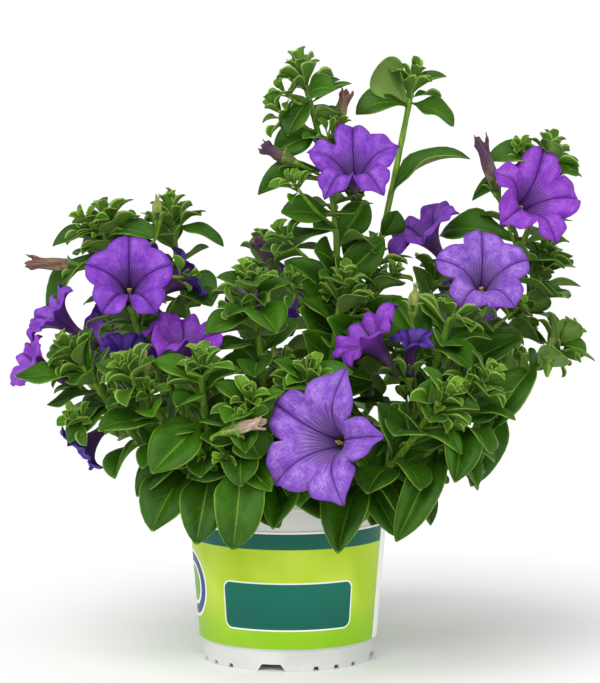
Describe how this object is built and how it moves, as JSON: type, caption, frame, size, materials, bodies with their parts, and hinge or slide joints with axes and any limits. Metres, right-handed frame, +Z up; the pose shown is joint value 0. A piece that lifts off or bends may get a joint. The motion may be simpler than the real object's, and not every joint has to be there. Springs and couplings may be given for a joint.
{
  "type": "petunia in nursery pot",
  "caption": "Flowering petunia with upright leafy shoots and trumpet flowers, growing in compost in a round tapered nursery pot wrapped in a printed film.",
  "frame": {"origin": "middle of the pot's base, on the ground", "axes": "+Z up along the axis of the pot; -Y towards the front of the printed film, which is the side seen in the picture; +X to the viewer's right"},
  "size_m": [0.3319, 0.2984, 0.3518],
  "materials": {
    "pot": "satin white",
    "film": "printed gloss film",
    "compost": "moist peat compost",
    "leaf": "soft, finely hairy leaf and stem",
    "petal": "thin soft petal",
    "faded": "rolled or withered petal"
  },
  "bodies": {
    "root": {"pot": "pot", "printed_film": "film", "potting_compost": "compost", "shoot_tall_middle": "leaf", "shoot_tall_right": "leaf", "shoot_high_far_right": "leaf", "shoot_high_left": "leaf", "shoot_high_back_left": "leaf", "shoot_middle_left": "leaf", "shoot_middle": "leaf", "shoot_middle_back": "leaf", "shoot_right": "leaf", "shoot_far_right": "leaf", "shoot_back_right": "leaf", "shoot_far_left": "leaf", "shoot_front_left": "leaf", "shoot_front_upright": "leaf", "shoot_front_low": "leaf", "shoot_front_right": "leaf", "shoot_right_front": "leaf", "shoot_front_middle": "leaf", "shoot_back_left": "leaf", "shoot_back_middle": "leaf", "shoot_back_far_right": "leaf", "shoot_low_back_left": "leaf", "shoot_low_back_right": "leaf", "shoot_low_back": "leaf", "shoot_low_back_corner": "leaf", "corolla_top": "petal", "corolla_right_top": "petal", "corolla_right": "petal", "corolla_left": "petal", "corolla_front": "petal", "corolla_right_side": "petal", "corolla_middle_side": "petal", "corolla_half_open": "petal", "corolla_left_behind": "petal", "corolla_left_side": "petal", "corolla_far_left": "petal", "corolla_left_low": "petal", "corolla_left_ruffled": "petal", "corolla_left_under": "petal", "corolla_left_back": "petal", "corolla_back_top": "petal", "corolla_back_right": "petal", "corolla_back_low": "petal", "corolla_back_left": "petal", "faded_left": "faded", "faded_middle": "faded", "faded_right": "faded", "faded_behind": "faded", "bud_top": "faded", "dried_front": "faded"}
  },
  "joints": []
}
